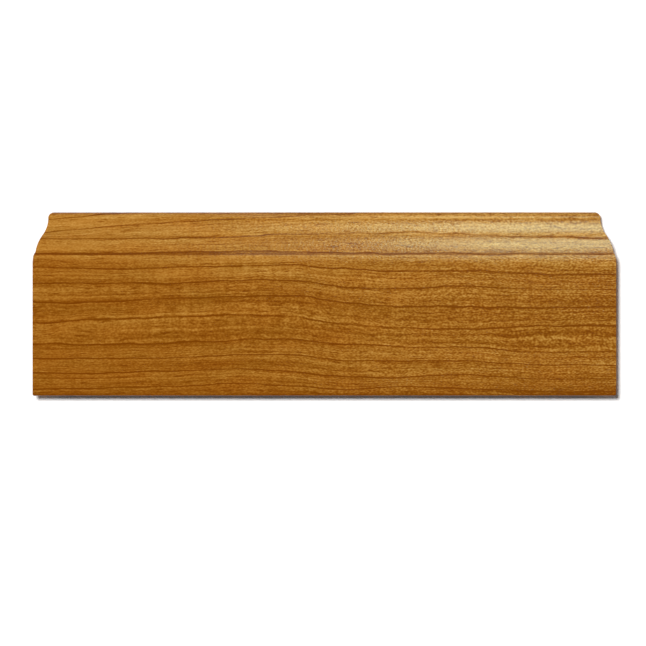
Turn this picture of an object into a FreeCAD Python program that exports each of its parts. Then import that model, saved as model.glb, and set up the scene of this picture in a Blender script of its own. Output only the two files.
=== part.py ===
import FreeCAD, Part
import math
import os

import Sketcher

# Skirting board: one short length of solid timber moulding, planed and milled from a single
# piece. It lies on its flat back. X runs along the length, Y up the height towards the moulded
# top edge, and Z out of the wall side towards the show face. The origin is the middle of the
# back face. Both ends are sawn to outside mitres, so the show face is the longest face.
#
# The section, from the thin top edge down to the floor edge: a rounded nose, a hollow cove that
# rolls over into a rounded ovolo, a sloping quirk up to the flat face, and an eased foot.

# Driving sizes, in millimetres and degrees.
SIZES = [
    ("board_length", 302.0, "long point to long point, measured along the show face"),
    ("board_height", 95.0, "floor edge to top edge"),
    ("board_thickness", 15.0, "flat back to flat show face"),
    ("nose_thickness", 7.0, "flat back to the crest of the nose at the top edge"),
    ("nose_radius", 3.0, "rounding of the top edge"),
    ("cove_radius", 14.5, "hollow half of the ogee"),
    ("ovolo_radius", 20.0, "rounded half of the ogee"),
    ("moulding_height", 23.0, "top edge down to the upper corner of the flat face"),
    ("quirk_depth", 1.5, "flat face back to the foot of the ovolo"),
    ("quirk_angle", 30.0, "slope of the quirk away from the flat face"),
    ("step_arris_radius", 3.0, "easing where the quirk meets the flat face"),
    ("foot_arris_radius", 1.0, "easing between the flat face and the floor edge"),
    ("mitre_angle", 45.0, "saw cut at each end, away from a square end"),
]

ORIGIN = -1  # a sketch's horizontal axis, whose start is its origin
START, END, CENTRE = 1, 2, 3  # the ends and the centre of a line or an arc


def make_sheet(doc):
    """Writes every driving size into a spreadsheet, one row each, under its own name."""
    sheet = doc.addObject("Spreadsheet::Sheet", "Sizes")
    for row, (name, value, meaning) in enumerate(SIZES, start=1):
        sheet.set(f"A{row}", name)
        sheet.set(f"B{row}", str(value))
        sheet.set(f"C{row}", meaning)
        sheet.setAlias(f"B{row}", name)
    doc.recompute()
    return sheet


def origin_plane(body, role):
    """One of the body's own origin planes, by its role."""
    return next(f for f in body.Origin.OriginFeatures if f.Role == role)


def new_sketch(body, name, plane):
    """An empty sketch on one of the body's origin planes."""
    sketch = body.newObject("Sketcher::SketchObject", name)
    sketch.AttachmentSupport = [(origin_plane(body, plane), "")]
    sketch.MapMode = "FlatFace"
    return sketch


def line(sketch, start, end):
    """A straight edge between two (across, up) points, by its number in the sketch."""
    return sketch.addGeometry(Part.LineSegment(FreeCAD.Vector(*start), FreeCAD.Vector(*end)))


def arc(sketch, centre, radius, first, last):
    """An arc, turning anticlockwise from the first to the last angle in degrees."""
    circle = Part.Circle(FreeCAD.Vector(*centre), FreeCAD.Vector(0, 0, 1), radius)
    return sketch.addGeometry(Part.ArcOfCircle(circle, math.radians(first), math.radians(last)))


def point(sketch, place):
    """A construction point."""
    number = sketch.addGeometry(Part.Point(FreeCAD.Vector(*place)))
    sketch.setConstruction(number, True)
    return number


def tie(sketch, kind, *where):
    """A constraint that has no size, such as a tangent joint."""
    sketch.addConstraint(Sketcher.Constraint(kind, *where))


def dimension(sketch, name, expression, kind, *where):
    """A named dimension whose value is bound to the spreadsheet."""
    number = sketch.addConstraint(Sketcher.Constraint(kind, *where))
    sketch.renameConstraint(number, name)
    sketch.setExpression(f"Constraints.{name}", expression)


def angle_of(centre, place):
    """Direction from a centre to a point, in degrees."""
    return math.degrees(math.atan2(place[1] - centre[1], place[0] - centre[0])) % 360


def ovolo_centre(cove, quirk_foot, cove_radius, ovolo_radius):
    """Where the ovolo's centre lies: its arc touches the cove's and runs into the quirk's foot."""
    across = quirk_foot[0] - cove[0]
    down = quirk_foot[1] - cove[1]
    gap = math.hypot(across, down)
    reach = cove_radius + ovolo_radius
    along = (gap**2 + reach**2 - ovolo_radius**2) / (2 * gap)
    aside = math.sqrt(reach**2 - along**2)
    return (
        cove[0] + (along * across - aside * down) / gap,
        cove[1] + (along * down + aside * across) / gap,
    )


def draw_section(body, size):
    """The board's section, seen along its length: height across the sketch, thickness up it."""
    top = size.board_height / 2
    foot = -top
    face = size.board_thickness
    crest = size.nose_thickness
    slope = math.radians(size.quirk_angle)

    corner = (top - size.moulding_height, face)
    quirk_foot = (corner[0] + size.quirk_depth / math.tan(slope), face - size.quirk_depth)
    easing = size.step_arris_radius * math.tan(slope / 2)
    quirk_head = (corner[0] + easing * math.cos(slope), face - easing * math.sin(slope))
    nose = (top - size.nose_radius, crest - size.nose_radius)
    cove = (nose[0], crest + size.cove_radius)
    ovolo = ovolo_centre(cove, quirk_foot, size.cove_radius, size.ovolo_radius)
    step_arris = (corner[0] - easing, face - size.step_arris_radius)
    foot_arris = (foot + size.foot_arris_radius, face - size.foot_arris_radius)

    sketch = new_sketch(body, "Section", "YZ_Plane")
    back = line(sketch, (foot, 0), (top, 0))
    top_edge = line(sketch, (top, 0), (top, nose[1]))
    nose_arc = arc(sketch, nose, size.nose_radius, 0, 90)
    cove_arc = arc(sketch, cove, size.cove_radius, angle_of(cove, ovolo), 270)
    ovolo_arc = arc(
        sketch, ovolo, size.ovolo_radius, angle_of(ovolo, cove), angle_of(ovolo, quirk_foot)
    )
    quirk = line(sketch, quirk_foot, quirk_head)
    step_arc = arc(sketch, step_arris, size.step_arris_radius, 90 - size.quirk_angle, 90)
    show_face = line(sketch, (step_arris[0], face), (foot_arris[0], face))
    foot_arc = arc(sketch, foot_arris, size.foot_arris_radius, 90, 180)
    floor_edge = line(sketch, (foot, foot_arris[1]), (foot, 0))
    face_corner = point(sketch, corner)

    # The outline closes, and every joint is smooth except at the back and in the quirk's foot.
    tie(sketch, "Coincident", back, END, top_edge, START)
    tie(sketch, "Tangent", top_edge, END, nose_arc, START)
    tie(sketch, "Tangent", nose_arc, END, cove_arc, END)
    tie(sketch, "Tangent", cove_arc, START, ovolo_arc, START)
    tie(sketch, "Coincident", ovolo_arc, END, quirk, START)
    tie(sketch, "Tangent", quirk, END, step_arc, START)
    tie(sketch, "Tangent", step_arc, END, show_face, START)
    tie(sketch, "Tangent", show_face, END, foot_arc, START)
    tie(sketch, "Tangent", foot_arc, END, floor_edge, START)
    tie(sketch, "Coincident", floor_edge, END, back, START)
    tie(sketch, "Horizontal", back)
    tie(sketch, "Vertical", top_edge)
    tie(sketch, "Horizontal", show_face)
    tie(sketch, "Vertical", floor_edge)
    tie(sketch, "Vertical", nose_arc, CENTRE, nose_arc, END)
    tie(sketch, "Symmetric", back, START, back, END, ORIGIN, START)
    tie(sketch, "PointOnObject", face_corner, START, quirk)
    tie(sketch, "PointOnObject", face_corner, START, show_face)

    dimension(sketch, "height", "Sizes.board_height",
              "DistanceX", back, START, back, END, size.board_height)
    dimension(sketch, "thickness", "Sizes.board_thickness",
              "DistanceY", back, START, show_face, END, face)
    dimension(sketch, "crest", "Sizes.nose_thickness",
              "DistanceY", back, END, nose_arc, END, crest)
    dimension(sketch, "nose", "Sizes.nose_radius", "Radius", nose_arc, size.nose_radius)
    dimension(sketch, "cove", "Sizes.cove_radius", "Radius", cove_arc, size.cove_radius)
    dimension(sketch, "ovolo", "Sizes.ovolo_radius", "Radius", ovolo_arc, size.ovolo_radius)
    dimension(sketch, "moulding", "Sizes.moulding_height",
              "DistanceX", face_corner, START, top_edge, END, size.moulding_height)
    dimension(sketch, "quirk_depth", "Sizes.quirk_depth",
              "DistanceY", quirk, START, show_face, START, size.quirk_depth)
    dimension(sketch, "quirk_slope", "(180 - Sizes.quirk_angle) * 1 deg",
              "Angle", quirk, math.pi - slope)
    dimension(sketch, "step_arris", "Sizes.step_arris_radius",
              "Radius", step_arc, size.step_arris_radius)
    dimension(sketch, "foot_arris", "Sizes.foot_arris_radius",
              "Radius", foot_arc, size.foot_arris_radius)
    return sketch


def draw_offcut(body, size):
    """The waste beyond one mitre cut, seen from the floor edge: length across, thickness up.

    The saw line passes through the long point on the show face. The waste reaches one board
    thickness past the board on every side, so that the cut goes clean through.
    """
    half = size.board_length / 2
    spare = size.board_thickness
    lean = math.tan(math.radians(size.mitre_angle))
    low = -spare
    high = size.board_thickness + spare
    inner = (half + (low - size.board_thickness) * lean, low)
    upper = (half + spare * lean, high)
    outer = upper[0] + spare

    sketch = new_sketch(body, "Offcut", "XZ_Plane")
    saw_line = line(sketch, inner, upper)
    roof = line(sketch, upper, (outer, high))
    end = line(sketch, (outer, high), (outer, low))
    base = line(sketch, (outer, low), inner)
    long_point = point(sketch, (half, size.board_thickness))

    tie(sketch, "Coincident", saw_line, END, roof, START)
    tie(sketch, "Coincident", roof, END, end, START)
    tie(sketch, "Coincident", end, END, base, START)
    tie(sketch, "Coincident", base, END, saw_line, START)
    tie(sketch, "Horizontal", roof)
    tie(sketch, "Vertical", end)
    tie(sketch, "Horizontal", base)
    tie(sketch, "PointOnObject", long_point, START, saw_line)

    dimension(sketch, "long_point_out", "Sizes.board_length / 2",
              "DistanceX", ORIGIN, START, long_point, START, half)
    dimension(sketch, "long_point_up", "Sizes.board_thickness",
              "DistanceY", ORIGIN, START, long_point, START, size.board_thickness)
    dimension(sketch, "saw_slope", "(90 - Sizes.mitre_angle) * 1 deg",
              "Angle", saw_line, math.radians(90 - size.mitre_angle))
    dimension(sketch, "spare_above", "Sizes.board_thickness",
              "DistanceY", long_point, START, roof, START, spare)
    dimension(sketch, "spare_below", "Sizes.board_thickness",
              "DistanceY", base, START, ORIGIN, START, spare)
    dimension(sketch, "spare_beyond", "Sizes.board_thickness",
              "DistanceX", roof, START, roof, END, spare)
    return sketch


def make_board(doc, size):
    """The board: the section run out to length, then a mitre sawn at each end."""
    body = doc.addObject("PartDesign::Body", "SkirtingBoard")
    body.Label = "skirting_board"

    stock = body.newObject("PartDesign::Pad", "Stock")
    stock.Profile = draw_section(body, size)
    stock.SideType = "Symmetric"
    stock.setExpression("Length", "Sizes.board_length + 2 * Sizes.board_thickness")
    doc.recompute()

    one_mitre = body.newObject("PartDesign::Pocket", "Mitre")
    one_mitre.Profile = draw_offcut(body, size)
    one_mitre.SideType = "Symmetric"
    one_mitre.Type = "ThroughAll"
    doc.recompute()

    both_mitres = body.newObject("PartDesign::Mirrored", "BothMitres")
    both_mitres.Originals = [one_mitre]
    both_mitres.MirrorPlane = (origin_plane(body, "YZ_Plane"), [""])
    body.Tip = both_mitres
    doc.recompute()
    if not stock.Shape.Volume > one_mitre.Shape.Volume > both_mitres.Shape.Volume:
        raise RuntimeError("a mitre cut missed the board")
    return body


def check_built(doc, bodies):
    """Stops if a feature failed, a sketch is loose or a solid is not sound."""
    for item in doc.Objects:
        if {"Invalid", "Error"} & set(item.State):
            raise RuntimeError(f"{item.Name} failed: {item.State}")
        if item.TypeId == "Sketcher::SketchObject" and not item.FullyConstrained:
            raise RuntimeError(f"sketch {item.Name} is not fully constrained")
    for body in bodies:
        shape = body.Shape
        if shape.isNull() or not shape.isValid() or len(shape.Solids) != 1:
            raise RuntimeError(f"{body.Label} is not one sound solid")


def main():
    """Builds the document and writes one STEP file for each piece."""
    doc = FreeCAD.newDocument("SkirtingBoard")
    sheet = make_sheet(doc)
    bodies = [make_board(doc, sheet)]
    check_built(doc, bodies)
    os.makedirs("parts", exist_ok=True)
    for body in bodies:
        shape = body.Shape
        box = shape.BoundBox
        shape.exportStep(f"parts/{body.Label}.step")
        print(
            f"{body.Label}: {box.XLength:.2f} x {box.YLength:.2f} x {box.ZLength:.2f} mm,"
            f" {len(shape.Faces)} faces, {shape.Volume / 1000:.2f} cm3"
        )


main()
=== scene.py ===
import math
from types import SimpleNamespace

import bmesh
import bpy
import numpy as np
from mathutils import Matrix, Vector


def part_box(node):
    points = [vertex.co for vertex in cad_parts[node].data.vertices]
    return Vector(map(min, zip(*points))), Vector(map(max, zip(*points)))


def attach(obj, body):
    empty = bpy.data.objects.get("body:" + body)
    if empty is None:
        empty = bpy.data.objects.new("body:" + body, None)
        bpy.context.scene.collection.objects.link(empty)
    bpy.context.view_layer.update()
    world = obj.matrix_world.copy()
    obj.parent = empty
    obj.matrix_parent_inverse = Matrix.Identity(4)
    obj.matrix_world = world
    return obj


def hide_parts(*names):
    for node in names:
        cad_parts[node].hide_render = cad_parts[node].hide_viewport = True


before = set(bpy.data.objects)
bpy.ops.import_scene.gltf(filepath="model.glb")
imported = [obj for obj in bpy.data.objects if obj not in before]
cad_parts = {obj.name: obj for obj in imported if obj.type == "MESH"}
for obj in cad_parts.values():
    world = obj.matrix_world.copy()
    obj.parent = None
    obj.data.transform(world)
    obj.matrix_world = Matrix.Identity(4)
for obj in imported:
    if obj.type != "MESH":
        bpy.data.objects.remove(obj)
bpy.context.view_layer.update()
mm = 0.001

# A length of moulded cherry skirting, lying on its back. The board is modelled in millimetres
# and scaled to metres at the end. X runs along it, Y up its height and Z out of its face.
low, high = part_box("skirting_board")
board = {
    "length": (high.x - low.x) / mm,
    "height": (high.y - low.y) / mm,
    "thickness": (high.z - low.z) / mm,
    "noseThickness": 7,  # back to the crest of the nose at the top edge
    "noseRadius": 3,
    "coveRadius": 14.5,  # hollow half of the ogee
    "ovoloRadius": 20,  # rounded half of the ogee
    "mouldingHeight": 23,  # top edge down to the corner of the flat face
    "quirkDepth": 1.5,
    "quirkAngle": 30,
    "stepRadius": 3,  # easing where the quirk meets the flat face
    "crownAngle": 10,  # the easing runs out in a slight crown, as sandpaper and lacquer leave it
    "crownLength": 4,
    "footRadius": 1,
    "mitreAngle": 45,
    "sawnArris": 0.12,  # what the saw and the plane leave of a sharp corner
    "arrisAngle": 40,  # degrees between two faces that leave a corner sharp
    "cell": 1.5,  # pitch of the mesh
    "cutSnap": 0.15,  # a cut between cells takes up the corners that lie this near it
    "arcStep": 2,  # degrees of an arc to each facet, the least length of one and the fewest
    "arcLength": 0.2,
    "arcFacets": 3,
    "roundShading": 14,  # degrees up to which two facets are shaded as one surface
    "facing": 0.6,  # share of a face's normal from which it counts as an end or as the back
}

# Dark growth lines, read along the board: their heights above the floor edge at ten stations,
# the line nearest the top edge first. Those below 0 or higher than the board lie off it, and
# carry the rings on.
growth = {
    "stations": [-147, -111, -75, -38, -18, 8, 39, 75, 106, 148],
    "heights": [
        [100, 102, 104, 106, 107, 108, 110, 112, 113, 114],
        [91, 94.1, 96.5, 98, 99, 100, 102, 104, 105, 106],
        [84.4, 87.6, 90.3, 92.1, 92.9, 94.1, 96.7, 98.2, 99.3, 100.3],
        [81.3, 81.2, 81.7, 82.7, 83.5, 84.4, 84.5, 84.0, 81.8, 81.5],
        [73.6, 73.4, 74.2, 75.0, 74.4, 73.8, 73.5, 73.4, 73.4, 73.5],
        [66.8, 65.5, 66.6, 67.4, 68.2, 65.7, 64.4, 64.8, 63.1, 62.5],
        [58.2, 58.2, 58.6, 60.0, 59.8, 56.4, 55.1, 57.1, 55.1, 54.6],
        [48.1, 48.8, 50.6, 51.8, 52.4, 49.0, 46.3, 45.9, 45.6, 46.3],
        [38.0, 39.9, 41.0, 42.7, 41.3, 37.1, 35.2, 34.1, 35.8, 36.9],
        [26.6, 26.4, 27.2, 29.0, 29.2, 27.1, 25.2, 25.7, 22.4, 22.8],
        [19.5, 19.0, 19.9, 21.4, 21.3, 18.3, 18.0, 18.0, 16.4, 16.0],
        [11.6, 11.8, 13.0, 14.2, 13.0, 9.4, 9.4, 11.3, 8.3, 8.8],
        [3.4, 4.2, 5.2, 6.5, 5.4, 3.1, 5.3, 4.0, 2.6, 2.6],
        [-4, -4, -3, -2, -3, -5, -4, -5, -6, -6],
        [-12, -12, -11, -10, -11, -13, -12, -13, -14, -14],
    ],
    "ease": 8,  # how far each side of a station the line is rounded, and in how many steps
    "easeSteps": 7,
    "lean": 0.5,  # how far a ring drops for each millimetre into the wood
    "pitch": 8.4,  # usual distance between two lines
}


# Section: a wire drawn corner by corner, with every arc spun

def runTo(bm, vert, height, depth):
    end = bmesh.ops.extrude_vert_indiv(bm, verts=[vert])["verts"][0]
    end.co = (0, height, depth)
    return end


def turnAbout(bm, vert, centre, degrees):
    radius = (vert.co.yz - Vector(centre)).length
    turns = abs(degrees) / board["arcStep"]
    facets = round(min(turns, math.radians(abs(degrees)) * radius / board["arcLength"]))
    spun = bmesh.ops.spin(
        bm, geom=[vert], cent=(0, *centre), axis=(1, 0, 0), angle=math.radians(degrees),
        steps=max(board["arcFacets"], facets),
    )
    return next(v for v in spun["geom_last"] if isinstance(v, bmesh.types.BMVert))


def ovoloCentre(cove, quirkFoot):
    # the ovolo touches the cove and runs into the foot of the quirk
    toFoot = quirkFoot - cove
    reach = board["coveRadius"] + board["ovoloRadius"]
    along = (toFoot.length_squared + reach**2 - board["ovoloRadius"] ** 2) / (2 * toFoot.length)
    aside = math.sqrt(reach**2 - along**2)
    way = toFoot.normalized()
    return cove + along * way + aside * Vector((-way.y, way.x))


def turnBetween(centre, start, end):
    # turn in degrees about the centre that carries start to end
    return math.degrees((end - centre).angle_signed(start - centre))


def drawSection(bm):
    # a place on the section is its height from the middle of the board and its depth from the back
    top = board["height"] / 2
    foot = -top
    face = board["thickness"]
    slope = math.radians(board["quirkAngle"])
    corner = Vector((top - board["mouldingHeight"], face))
    quirkFoot = corner + Vector((board["quirkDepth"] / math.tan(slope), -board["quirkDepth"]))
    nose = Vector((top - board["noseRadius"], board["noseThickness"] - board["noseRadius"]))
    crest = nose + Vector((0, board["noseRadius"]))
    cove = Vector((nose.x, board["noseThickness"] + board["coveRadius"]))
    ovolo = ovoloCentre(cove, quirkFoot)
    reach = board["coveRadius"] + board["ovoloRadius"]
    meeting = cove + (ovolo - cove) * board["coveRadius"] / reach

    stepRadius = board["stepRadius"]
    tilt = math.radians(board["crownAngle"])
    crownRadius = board["crownLength"] / math.sin(tilt)
    drop = crownRadius * (1 - math.cos(tilt)) + stepRadius * (math.cos(tilt) - math.cos(slope))
    quirkTop = corner + Vector((drop / math.tan(slope), -drop))
    step = quirkTop - stepRadius * Vector((math.sin(slope), math.cos(slope)))
    crown = step - (crownRadius - stepRadius) * Vector((math.sin(tilt), math.cos(tilt)))
    edge = Vector((foot + board["footRadius"], face - board["footRadius"]))

    start = bm.verts.new((0, top, 0))
    vert = runTo(bm, start, top, nose.y)
    vert = turnAbout(bm, vert, nose, 90)
    vert = turnAbout(bm, vert, cove, turnBetween(cove, crest, meeting))
    vert = turnAbout(bm, vert, ovolo, turnBetween(ovolo, meeting, quirkFoot))
    vert = runTo(bm, vert, *quirkTop)
    vert = turnAbout(bm, vert, step, board["quirkAngle"] - board["crownAngle"])
    vert = turnAbout(bm, vert, crown, board["crownAngle"])
    vert = runTo(bm, vert, edge.x, face)
    vert = turnAbout(bm, vert, edge, 90)
    vert = runTo(bm, vert, foot, 0)
    bm.edges.new((vert, start))
    bmesh.ops.contextual_create(bm, geom=bm.edges[:])


# Board: the section cut into cells, run out to length, mitred, eased and divided

def cutIntoCells(bm):
    for normal, span in (((0, 1, 0), board["height"]), ((0, 0, 1), board["thickness"])):
        count = round(span / board["cell"])
        for step in range(1, count):
            place = span * step / count - (span / 2 if normal[1] else 0)
            bmesh.ops.bisect_plane(
                bm, geom=bm.verts[:] + bm.edges[:] + bm.faces[:], dist=board["cutSnap"],
                plane_co=(0, normal[1] * place, normal[2] * place), plane_no=normal,
            )
    bm.normal_update()


def runToLength(bm):
    lean = math.tan(math.radians(board["mitreAngle"]))
    near = bm.verts[:]
    run = bmesh.ops.extrude_face_region(bm, geom=bm.faces[:])
    far = [v for v in run["geom"] if isinstance(v, bmesh.types.BMVert)]
    for side, verts in ((-1, near), (1, far)):
        for vert in verts:  # the saw's slope takes more off the back than off the face
            vert.co.x = side * (board["length"] / 2 - (board["thickness"] - vert.co.z) * lean)
    bmesh.ops.recalc_face_normals(bm, faces=bm.faces[:])


def easeAndDivide(bm):
    arris = math.radians(board["arrisAngle"])
    sharp = [e for e in bm.edges if len(e.link_faces) == 2 and e.calc_face_angle() > arris]
    bmesh.ops.bevel(
        bm, geom=sharp, offset=board["sawnArris"], offset_type="OFFSET", segments=2, profile=0.5,
        affect="EDGES", clamp_overlap=True, material=-1,
    )
    half = board["length"] / 2
    lengthwise = [e for e in bm.edges if abs(e.verts[0].co.x - e.verts[1].co.x) > half]
    bmesh.ops.subdivide_edges(
        bm, edges=lengthwise, cuts=round(board["length"] / board["cell"]), use_grid_fill=True
    )
    bmesh.ops.recalc_face_normals(bm, faces=bm.faces[:])


def growthRings(points, profile):
    # ring number at each point: a whole number on a dark line, rising towards the floor edge
    along, across, depth = points.T
    across = across + board["height"] / 2
    surface = np.interp(across, *profile)
    across = across + growth["lean"] * (surface - depth)
    shifts = np.linspace(-growth["ease"], growth["ease"], growth["easeSteps"])
    heights = np.array([
        np.mean([np.interp(along + shift, growth["stations"], line) for shift in shifts], axis=0)
        for line in growth["heights"]
    ])
    above = np.clip((heights > across).sum(axis=0) - 1, 0, len(heights) - 2)
    column = np.arange(len(across))
    upper, lower = heights[above, column], heights[above + 1, column]
    return above + (upper - across) / (upper - lower)


def finishOf(face):
    # place of a face's material: lacquered, sawn or planed
    if abs(face.normal.x) > board["facing"]:
        return 1
    return 2 if face.normal.z < -board["facing"] else 0


def buildBoard():
    bm = bmesh.new()
    drawSection(bm)
    front = sorted((v.co.y + board["height"] / 2, v.co.z) for v in bm.verts if v.co.z > 0)
    cutIntoCells(bm)
    runToLength(bm)
    easeAndDivide(bm)
    for face in bm.faces:
        face.smooth = True
        face.material_index = finishOf(face)

    rings = growthRings(np.array([v.co[:] for v in bm.verts]), tuple(zip(*front)))
    bmesh.ops.scale(bm, vec=(mm, mm, mm), verts=bm.verts[:])
    mesh = bpy.data.meshes.new("cherrySkirting")
    bm.to_mesh(mesh)
    bm.free()
    mesh.attributes.new("ring", "FLOAT", "POINT").data.foreach_set("value", rings.astype(np.float32))
    mesh.set_sharp_from_angle(angle=math.radians(board["roundShading"]))
    piece = bpy.data.objects.new("cherrySkirting", mesh)
    bpy.context.scene.collection.objects.link(piece)
    return piece


# Materials

def linear(hexColour):
    parts = [int(hexColour[i:i + 2], 16) / 255 for i in (1, 3, 5)]
    return [p / 12.92 if p <= 0.04045 else ((p + 0.055) / 1.055) ** 2.4 for p in parts] + [1]


def addNode(tree, kind, inputs=(), **settings):
    # inputs, in order or by name, take a plain value, a socket, or a node, which gives its first
    # live output
    node = tree.nodes.new(kind)
    for name, value in settings.items():
        setattr(node, name, value)
    sockets = inputs.items() if isinstance(inputs, dict) else enumerate(inputs)
    for socket, value in sockets:
        if isinstance(value, bpy.types.Node):
            value = next(s for s in value.outputs if s.enabled)
        if isinstance(value, bpy.types.NodeSocket):
            tree.links.new(value, node.inputs[socket])
        else:
            node.inputs[socket].default_value = value
    return node


# Settings that most nodes of the figure share: the first multiplies two values, the second also
# adds a third, and the last eases a value from one pair of limits to another.
times = {"kind": "ShaderNodeMath", "operation": "MULTIPLY"}
timesPlus = {"kind": "ShaderNodeMath", "operation": "MULTIPLY_ADD"}
eased = {"kind": "ShaderNodeMapRange", "interpolation_type": "SMOOTHSTEP"}

# What the wood's figure is made of. A layer is noise from -0.5 to 0.5, with its size in
# millimetres along the grain and across it, its octaves, the place in the noise that it is taken
# from, and how far it moves the tone. Where a layer has limits, it becomes a share that changes
# between them. The pores are drawn about twice their real size, because finer ones would be lost
# between the picture's points.
figure = {
    "meanTone": 0.43,
    "layers": {
        "bands": {"along": 200, "across": 6, "detail": 1, "seed": 0, "tone": 0.58},
        "mottle": {"along": 16, "across": 4.5, "detail": 1, "seed": 7, "tone": 0.14},
        "streaks": {"along": 130, "across": 0.9, "detail": 1, "seed": 14, "tone": 0.66},
        "fibres": {"along": 7, "across": 0.6, "detail": 1, "seed": 21, "tone": 0.48},
        "pores": {"along": 1.2, "across": 0.55, "detail": 0, "seed": 28, "tone": 0.77},
    },
    "rise": (0.82, 1.08),  # the layers grow stronger from the left-hand end to the right
    "poresRise": (0.64, 1.34),
    "patches": {  # where fibres and pores are faint or strong
        "along": 28, "across": 7, "detail": 1, "seed": 70, "limits": (-0.15, 0.15), "share": (0.88, 1.08),
    },
    "flecks": {  # short dark dashes
        "along": 9, "across": 0.8, "detail": 1, "seed": 50, "limits": (0.09, 0.24), "share": (0, 1),
        "tone": -0.30,
    },
    "relief": {"fibres": {"seed": 30, "share": 0.5}, "pores": {"seed": 20, "share": 1}},
    "curl": {  # faint bars across the grain, which fade between these shares of their reach
        "along": 3.2, "across": 13, "detail": 1, "seed": 100, "tone": 0.34, "centre": (-40, 6),
        "reach": (95, 42), "limits": (0.4, 1), "share": (1, 0.25),
    },
    # The heartwood is redder in patches and towards the left-hand end.
    "tints": ("#FFEEC8", "#FFFDF0"),
    "tintShare": (0.3, 0.75),
    "tintPatches": {"along": 26, "across": 7, "detail": 1, "seed": 110, "change": 1.5},
}

# The growth lines in it, where a width is measured edge to edge and a wander in rings
lines = {
    "width": 1.1,
    "wander": {"along": 18, "across": 8, "detail": 4, "seed": 40, "rings": 0.3},
    "patches": {  # where a line is faint or strong
        "along": 18, "across": 6, "detail": 3, "seed": 60, "limits": (-0.15, 0.13), "share": (0.7, 1.2),
    },
    "onFace": 0.6,  # how far a line darkens the tone on the face
    "onMoulding": (0.55, 0.38),  # and on the moulding, at its left-hand end and at its right
    "moulding": (22, 25.3),  # where the one runs into the other, up from the middle of the board
    "fineCount": 3,  # fainter lines to each ring
    "fineWidth": 0.7,  # of the others'
    "fineTone": -0.14,
    "fineWander": {"along": 24, "across": 3, "detail": 1, "seed": 80, "rings": 0.8},
    "finePatches": {
        "along": 24, "across": 3, "detail": 1, "seed": 90, "limits": (0, 0.15), "share": (0, 1),
    },
}

# The stain and the lacquer over it, with painted light and shade, by height up from the middle of the
# board
coatAndPaintedLight = {
    # The tone is lighter up the face, on the moulding and on its cove, and darker towards the
    # foot and on the foot's arris: where each change starts and ends, and what it does to the tone.
    # The lighter moulding is partly the wood and partly painted light from above its top edge; the
    # dark foot arris is painted shade.
    "heightTones": [
        (-4, 16, 0.05), (22, 25.3, 0.14), (33.5, 37.5, 0.06), (-42.5, -46.5, -0.10), (-45.7, -47.5, -0.20),
    ],
    # Bands where the tone is lighter or darker: where each starts, is strongest and ends, and what
    # it does to the tone at the left-hand end and at the right. Most are painted light and shade on
    # the moulding's curves.
    "bands": [
        (46, 47.1, 60, -0.30, -0.05),  # top arris, painted shade where it turns away from the lamp
        (45.6, 44.6, 43.9, 0.08, 0.22),  # crest of the nose, painted highlight
        (44.2, 43.6, 43, -0.06, -0.22),  # under the nose, painted shade
        (38, 36, 34.8, 0, 0.2),  # foot of the cove, painted sheen at the right-hand end
        (35, 33, 26.5, 0.08, -0.09),  # ovolo
        (30, 25.9, 25.3, -0.20, -0.05),  # above the quirk, painted shade rising from its crease
        (25.3, 24.9, 24.4, 0, 0.12),  # arris of the step, painted highlight
        (23.8, 23.3, 21.6, 0, 0.2),  # below it, painted sheen
    ],
    "quirkStainAndShade": (-0.34, -0.02),  # it is darkest in the quirk, most of all at the left-hand end: stain gathered in the crease, and painted shade
    "quirkMiddle": 0.9,  # of the quirk's depth, up from the corner of the flat face
    "quirkBand": (0.3, 1.25),  # each side of that
    # The lacquer stays dull in the quirk, at the top of the nose, where it is sanded, and on the
    # moulding where it sinks into the growth lines. All of it grows along the board.
    "quirkDull": 0.65,
    "sandedNose": (45, 45.6),
    "dullAlong": (-70, 0),
}


def grainPlace(wood, rings):
    # a place measured along the grain and across the rings
    across = addNode(wood.tree, inputs=[rings, growth["pitch"] * mm], **times)
    return addNode(wood.tree, "ShaderNodeCombineXYZ", [wood.along, across, wood.out])


def swing(wood, layer):
    # noise stretched along the grain, from -0.5 to 0.5
    wide = layer["across"] * mm
    stretched = addNode(wood.tree, "ShaderNodeMapping", {
        "Vector": wood.grain,
        "Location": (layer["seed"], layer["seed"], layer["seed"]),
        "Scale": (1 / (layer["along"] * mm), 1 / wide, 1 / wide),
    })
    noise = addNode(
        wood.tree, "ShaderNodeTexNoise", {"Vector": stretched, "Scale": 1, "Detail": layer["detail"]}
    )
    return addNode(wood.tree, "ShaderNodeMath", [noise, -0.5], operation="ADD")


def patchwork(wood, layer):
    return addNode(wood.tree, inputs=[swing(wood, layer), *layer["limits"], *layer["share"]], **eased)


def lineOnRings(tree, rings, halfWidth):
    # 1 where a ring is a whole number, and 0 from half a line's width away
    distance = addNode(tree, "ShaderNodeMath", [rings, 0.5], operation="PINGPONG")
    return addNode(tree, inputs=[distance, 0, halfWidth, 1, 0], **eased)


def grainTone(wood):
    tree = wood.tree
    patches = patchwork(wood, figure["patches"])
    tone = figure["meanTone"]
    for name, layer in figure["layers"].items():
        rise = figure["poresRise" if name == "pores" else "rise"]
        amount = addNode(tree, inputs=[*wood.endToEnd, *rise], **eased)
        amount = addNode(tree, inputs=[amount, layer["tone"]], **times)
        if name in ("fibres", "pores"):
            amount = addNode(tree, inputs=[amount, patches], **times)
        tone = addNode(tree, inputs=[swing(wood, layer), amount, tone], **timesPlus)
    flecks = patchwork(wood, figure["flecks"])
    return addNode(tree, inputs=[flecks, figure["flecks"]["tone"], tone], **timesPlus)


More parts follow.
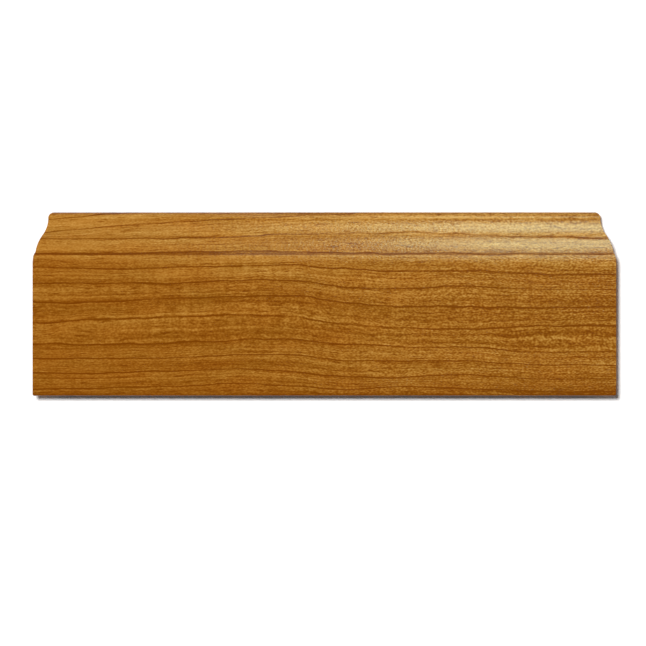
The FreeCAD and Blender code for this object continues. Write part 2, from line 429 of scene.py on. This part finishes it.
def growthLines(wood, tone):
    # the tone with its growth lines, and where they show on the moulding
    tree = wood.tree
    halfLine = 0.5 * lines["width"] / growth["pitch"]
    drawn = lineOnRings(tree, wood.rings, halfLine)
    drawn = addNode(tree, inputs=[drawn, patchwork(wood, lines["patches"])], **times)
    onMoulding = addNode(tree, inputs=[wood.up, *(h * mm for h in lines["moulding"]), 0, 1], **eased)
    fainter = (lines["onFace"] - strength for strength in lines["onMoulding"])
    fainter = addNode(tree, inputs=[*wood.endToEnd, *fainter], **eased)
    darker = addNode(tree, inputs=[onMoulding, fainter, -lines["onFace"]], **timesPlus)
    tone = addNode(tree, inputs=[drawn, darker, tone], **timesPlus)

    wander = swing(wood, lines["fineWander"])
    wander = addNode(tree, inputs=[wander, lines["fineWander"]["rings"]], **times)
    fineRings = addNode(tree, inputs=[wood.rings, lines["fineCount"], wander], **timesPlus)
    fine = lineOnRings(tree, fineRings, halfLine * lines["fineCount"] * lines["fineWidth"])
    fine = addNode(tree, inputs=[fine, patchwork(wood, lines["finePatches"])], **times)
    tone = addNode(tree, inputs=[fine, lines["fineTone"], tone], **timesPlus)
    return tone, addNode(tree, inputs=[drawn, onMoulding], **times)


def stainAndPaintedLightTone(wood, tone):
    # the tone under its stain, with painted shade and highlights by height, and a band that lies in the
    # quirk
    tree = wood.tree
    # lighter up the face and on the moulding, partly painted light, and darker to the foot, with painted
    # shade on its arris
    for start, end, change in coatAndPaintedLight["heightTones"]:
        share = addNode(tree, inputs=[wood.up, start * mm, end * mm, 0, 1], **eased)
        tone = addNode(tree, inputs=[share, change, tone], **timesPlus)
    # the quirk's band: stain gathered in its crease, and painted shade
    flatCorner = board["height"] / 2 - board["mouldingHeight"]
    quirkMiddle = flatCorner + coatAndPaintedLight["quirkMiddle"] * board["quirkDepth"]
    fromQuirk = addNode(tree, "ShaderNodeMath", [wood.up, quirkMiddle * mm], operation="SUBTRACT")
    fromQuirk = addNode(tree, "ShaderNodeMath", [fromQuirk], operation="ABSOLUTE")
    quirk = addNode(tree, inputs=[fromQuirk, *(h * mm for h in coatAndPaintedLight["quirkBand"]), 1, 0], **eased)
    change = addNode(tree, inputs=[*wood.endToEnd, *coatAndPaintedLight["quirkStainAndShade"]], **eased)
    tone = addNode(tree, inputs=[quirk, change, tone], **timesPlus)
    # painted highlights and shade along the moulding's curves
    for start, strongest, end, *ends in coatAndPaintedLight["bands"]:
        grows = addNode(tree, inputs=[wood.up, start * mm, strongest * mm, 0, 1], **eased)
        fades = addNode(tree, inputs=[wood.up, strongest * mm, end * mm, 1, 0], **eased)
        band = addNode(tree, inputs=[grows, fades], **times)
        change = addNode(tree, inputs=[*wood.endToEnd, *ends], **eased)
        tone = addNode(tree, inputs=[band, change, tone], **timesPlus)
    return tone, quirk


def lacquerDullness(wood, sunk, quirk):
    tree = wood.tree
    sanded = addNode(tree, inputs=[wood.up, *(h * mm for h in coatAndPaintedLight["sandedNose"]), 0, 1], **eased)
    quirk = addNode(tree, inputs=[quirk, coatAndPaintedLight["quirkDull"]], **times)
    dull = sunk
    for place in (sanded, quirk):
        dull = addNode(tree, "ShaderNodeMath", [dull, place], operation="MAXIMUM")
    growing = addNode(tree, inputs=[wood.along, *(x * mm for x in coatAndPaintedLight["dullAlong"]), 0, 1], **eased)
    return addNode(tree, inputs=[dull, growing], **times)


def curlTone(wood, tone):
    tree = wood.tree
    curl = figure["curl"]
    centre = (*(-c * mm for c in curl["centre"]), 0)
    reach = (*(1 / (r * mm) for r in curl["reach"]), 0)
    away = addNode(tree, "ShaderNodeVectorMath", [wood.place, centre], operation="ADD")
    away = addNode(tree, "ShaderNodeVectorMath", [away, reach], operation="MULTIPLY")
    away = addNode(tree, "ShaderNodeVectorMath", [away], operation="LENGTH").outputs["Value"]
    share = addNode(tree, inputs=[away, *curl["limits"], *curl["share"]], **eased)
    bars = addNode(tree, inputs=[swing(wood, curl), share], **times)
    return addNode(tree, inputs=[bars, curl["tone"], tone], **timesPlus)


def heartwoodTint(wood):
    patches = figure["tintPatches"]
    share = addNode(wood.tree, inputs=[*wood.endToEnd, *figure["tintShare"]], **eased)
    share = addNode(wood.tree, inputs=[swing(wood, patches), patches["change"], share], **timesPlus)
    redder, yellower = (linear(colour) for colour in figure["tints"])
    return addNode(wood.tree, "ShaderNodeMix", {0: share, 6: redder, 7: yellower}, data_type="RGBA")


def grainRelief(wood):
    height = 0
    for name, part in figure["relief"].items():
        layer = {**figure["layers"][name], **part}
        height = addNode(wood.tree, inputs=[swing(wood, layer), layer["share"], height], **timesPlus)
    return height


def cherryFigure(tree):
    # the wood's tone from 0, darkest, to 1, with painted light and shade on the moulding, its tint,
    # a relief of its fibres and pores, and how dull the lacquer is
    place = addNode(tree, "ShaderNodeTexCoord").outputs["Object"]
    along, up, out = addNode(tree, "ShaderNodeSeparateXYZ", [place]).outputs
    end = board["length"] / 2 * mm
    wood = SimpleNamespace(tree=tree, place=place, along=along, up=up, out=out)
    wood.endToEnd = (along, -end, end)

    ring = addNode(tree, "ShaderNodeAttribute", attribute_name="ring").outputs["Fac"]
    wood.grain = grainPlace(wood, ring)
    wander = swing(wood, lines["wander"])
    wood.rings = addNode(tree, inputs=[wander, lines["wander"]["rings"], ring], **timesPlus)
    wood.grain = grainPlace(wood, wood.rings)

    tone, sunk = growthLines(wood, grainTone(wood))
    tone, quirk = stainAndPaintedLightTone(wood, tone)
    tone = curlTone(wood, tone)
    return tone, heartwoodTint(wood), grainRelief(wood), lacquerDullness(wood, sunk, quirk)


def woodColour(tree, tone, stops, tint):
    ramp = addNode(tree, "ShaderNodeValToRGB", [tone])
    elements = ramp.color_ramp.elements
    while len(elements) < len(stops):
        elements.new(0.5)
    for element, (position, colour) in zip(elements, stops):
        element.position = position
        element.color = linear(colour)
    return addNode(tree, "ShaderNodeVectorMath", [ramp, tint], operation="MULTIPLY")


def newMaterial(name):
    material = bpy.data.materials.new(name)
    material.use_nodes = True
    material.node_tree.nodes.clear()
    return material, material.node_tree


def cherry(name, tones, roughness, relief, dullRoughness=None):
    material, tree = newMaterial(name)
    tone, tint, height, dull = cherryFigure(tree)
    bump = addNode(tree, "ShaderNodeBump", {"Height": height, "Strength": 1, "Distance": relief * mm})
    if dullRoughness:
        roughness = addNode(
            tree, "ShaderNodeMapRange", {"Value": dull, "To Min": roughness, "To Max": dullRoughness}
        )
    shader = addNode(tree, "ShaderNodeBsdfPrincipled", {
        "Base Color": woodColour(tree, tone, tones, tint),
        "Roughness": roughness,
        "IOR": 1.5,
        "Normal": bump,
    })
    addNode(tree, "ShaderNodeOutputMaterial", {"Surface": shader})
    return material


# Cherry, planed and moulded, then stained and sprayed with satin lacquer: the growth lines show
# dark under a soft sheen, which the pores beneath break up.
satinTones = [
    (0.0, "#7E4400"), (0.2, "#8C5209"), (0.35, "#985F15"), (0.44, "#A2691F"), (0.62, "#B47E32"),
    (0.8, "#C39046"), (1.0, "#D6A85E"),
]
# The same wood under the mitre saw: end grain, rough, paler and without lacquer.
sawnTones = [(0.0, "#7A4A28"), (0.44, "#B07C50"), (1.0, "#D0A176")]
# The back as the planer left it, with no stain, which lies against the wall.
planedTones = [(0.0, "#8F5C33"), (0.44, "#C48F60"), (1.0, "#DDB083")]

piece = buildBoard()
print("board:", len(piece.data.polygons), "faces")
for material in (
    cherry("satinLacqueredCherry", satinTones, roughness=0.25, relief=0.08, dullRoughness=0.85),
    cherry("sawnCherryEndGrain", sawnTones, roughness=0.75, relief=0.15),
    cherry("planedCherryBack", planedTones, roughness=0.6, relief=0.08),
):
    piece.data.materials.append(material)
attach(piece, "root")
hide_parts("skirting_board")
print("finishes:", ", ".join(material.name for material in piece.data.materials))


# Stage: a white table under an overhead lamp, and a softbox that shows in the lacquer
studio = {
    "overhead": 0.92,  # share of a full light on the face that the lamp gives
    "ambient": 0.1,  # and that the room gives
    "shadowFall": (2.0, -2.23),  # mm that the shadow lies right of and below the board's edge
    "lampAngle": 9.5,  # degrees across, which sets the shadow's soft edge
    "softboxColour": "#D8FFE2",  # daylight, which looks cooler than the stain
    "softboxTilt": 40,  # degrees from overhead, towards the board's top edge
    "softboxCentre": (165, 36),  # the point on the moulding that it faces
    # Radiance, where 1 is white, size and distance from the moulding, in mm. Its bulb lights the
    # middle more.
    "softbox": {"glow": 5.2, "size": (240, 450), "reach": 500},
    "softboxMiddle": {"glow": 2.4, "size": (240, 200), "reach": 495},
    "tableSize": 12,  # metres
    "tableWhite": 0.8,  # share of the light that the table gives back
    "tableSeen": 1.15,  # and how white the camera sees it
}


def layTable():
    bpy.ops.mesh.primitive_plane_add(size=studio["tableSize"], location=(0, 0, 0))
    table = bpy.context.object
    table.name = "table"
    material, tree = newMaterial("whiteTable")
    camera = addNode(tree, "ShaderNodeLightPath").outputs["Is Camera Ray"]
    extra = studio["tableSeen"] - studio["tableWhite"]
    white = addNode(tree, inputs=[camera, extra, studio["tableWhite"]], **timesPlus)
    colour = addNode(tree, "ShaderNodeCombineColor", [white, white, white])
    shader = addNode(tree, "ShaderNodeBsdfDiffuse", {"Color": colour})
    addNode(tree, "ShaderNodeOutputMaterial", {"Surface": shader})
    table.data.materials.append(material)


def hangLamps():
    lamp = bpy.data.lights.new("overhead", "SUN")
    lamp.energy = math.pi * studio["overhead"]
    lamp.angle = math.radians(studio["lampAngle"])
    overhead = bpy.data.objects.new("overhead", lamp)
    fall = Vector((*studio["shadowFall"], -board["thickness"]))
    overhead.rotation_euler = fall.to_track_quat("-Z", "Y").to_euler()
    overhead.visible_glossy = False  # only the softbox shows in the lacquer
    bpy.context.scene.collection.objects.link(overhead)

    tilt = math.radians(studio["softboxTilt"])
    for name in ("softbox", "softboxMiddle"):
        lamp = bpy.data.lights.new(name, "AREA")
        lamp.shape = "RECTANGLE"
        lamp.size, lamp.size_y = (side * mm for side in studio[name]["size"])
        lamp.energy = math.pi * lamp.size * lamp.size_y * studio[name]["glow"]
        lamp.color = linear(studio["softboxColour"])[:3]
        softbox = bpy.data.objects.new(name, lamp)
        reach = Vector((0, math.sin(tilt), math.cos(tilt))) * studio[name]["reach"]
        softbox.location = (Vector((*studio["softboxCentre"], board["noseThickness"])) + reach) * mm
        softbox.rotation_euler = (-tilt, 0, 0)
        softbox.visible_camera = False
        softbox.visible_diffuse = False
        bpy.context.scene.collection.objects.link(softbox)


def lightRoom():
    # white to the camera, and an even, weaker light on the board
    world = bpy.data.worlds.new("room")
    bpy.context.scene.world = world
    world.use_nodes = True
    world.cycles_visibility.glossy = False
    tree = world.node_tree
    tree.nodes.clear()
    camera = addNode(tree, "ShaderNodeLightPath").outputs["Is Camera Ray"]
    strength = addNode(tree, inputs=[camera, 1 - studio["ambient"], studio["ambient"]], **timesPlus)
    backdrop = addNode(tree, "ShaderNodeBackground", {"Strength": strength, "Color": (1, 1, 1, 1)})
    addNode(tree, "ShaderNodeOutputWorld", {"Surface": backdrop})


# Camera: straight down on the face through a long lens, framed as the photograph is
view = {
    "frameWidth": 334.1,  # mm of the face's plane across the picture
    "aim": (-0.71, -9.8),
    "lens": 1000,
    "farthest": 100,  # metres
}


def setCamera():
    camera = bpy.data.cameras.new("camera")
    camera.lens = view["lens"]
    camera.clip_end = view["farthest"]
    holder = bpy.data.objects.new("camera", camera)
    distance = view["frameWidth"] * view["lens"] / camera.sensor_width + board["thickness"]
    holder.location = Vector((*view["aim"], distance)) * mm
    bpy.context.scene.collection.objects.link(holder)
    bpy.context.scene.camera = holder


layTable()
hangLamps()
lightRoom()
setCamera()
bpy.context.scene.view_settings.view_transform = "Standard"
print("stage: table, lamp, softbox and its middle, room, camera")
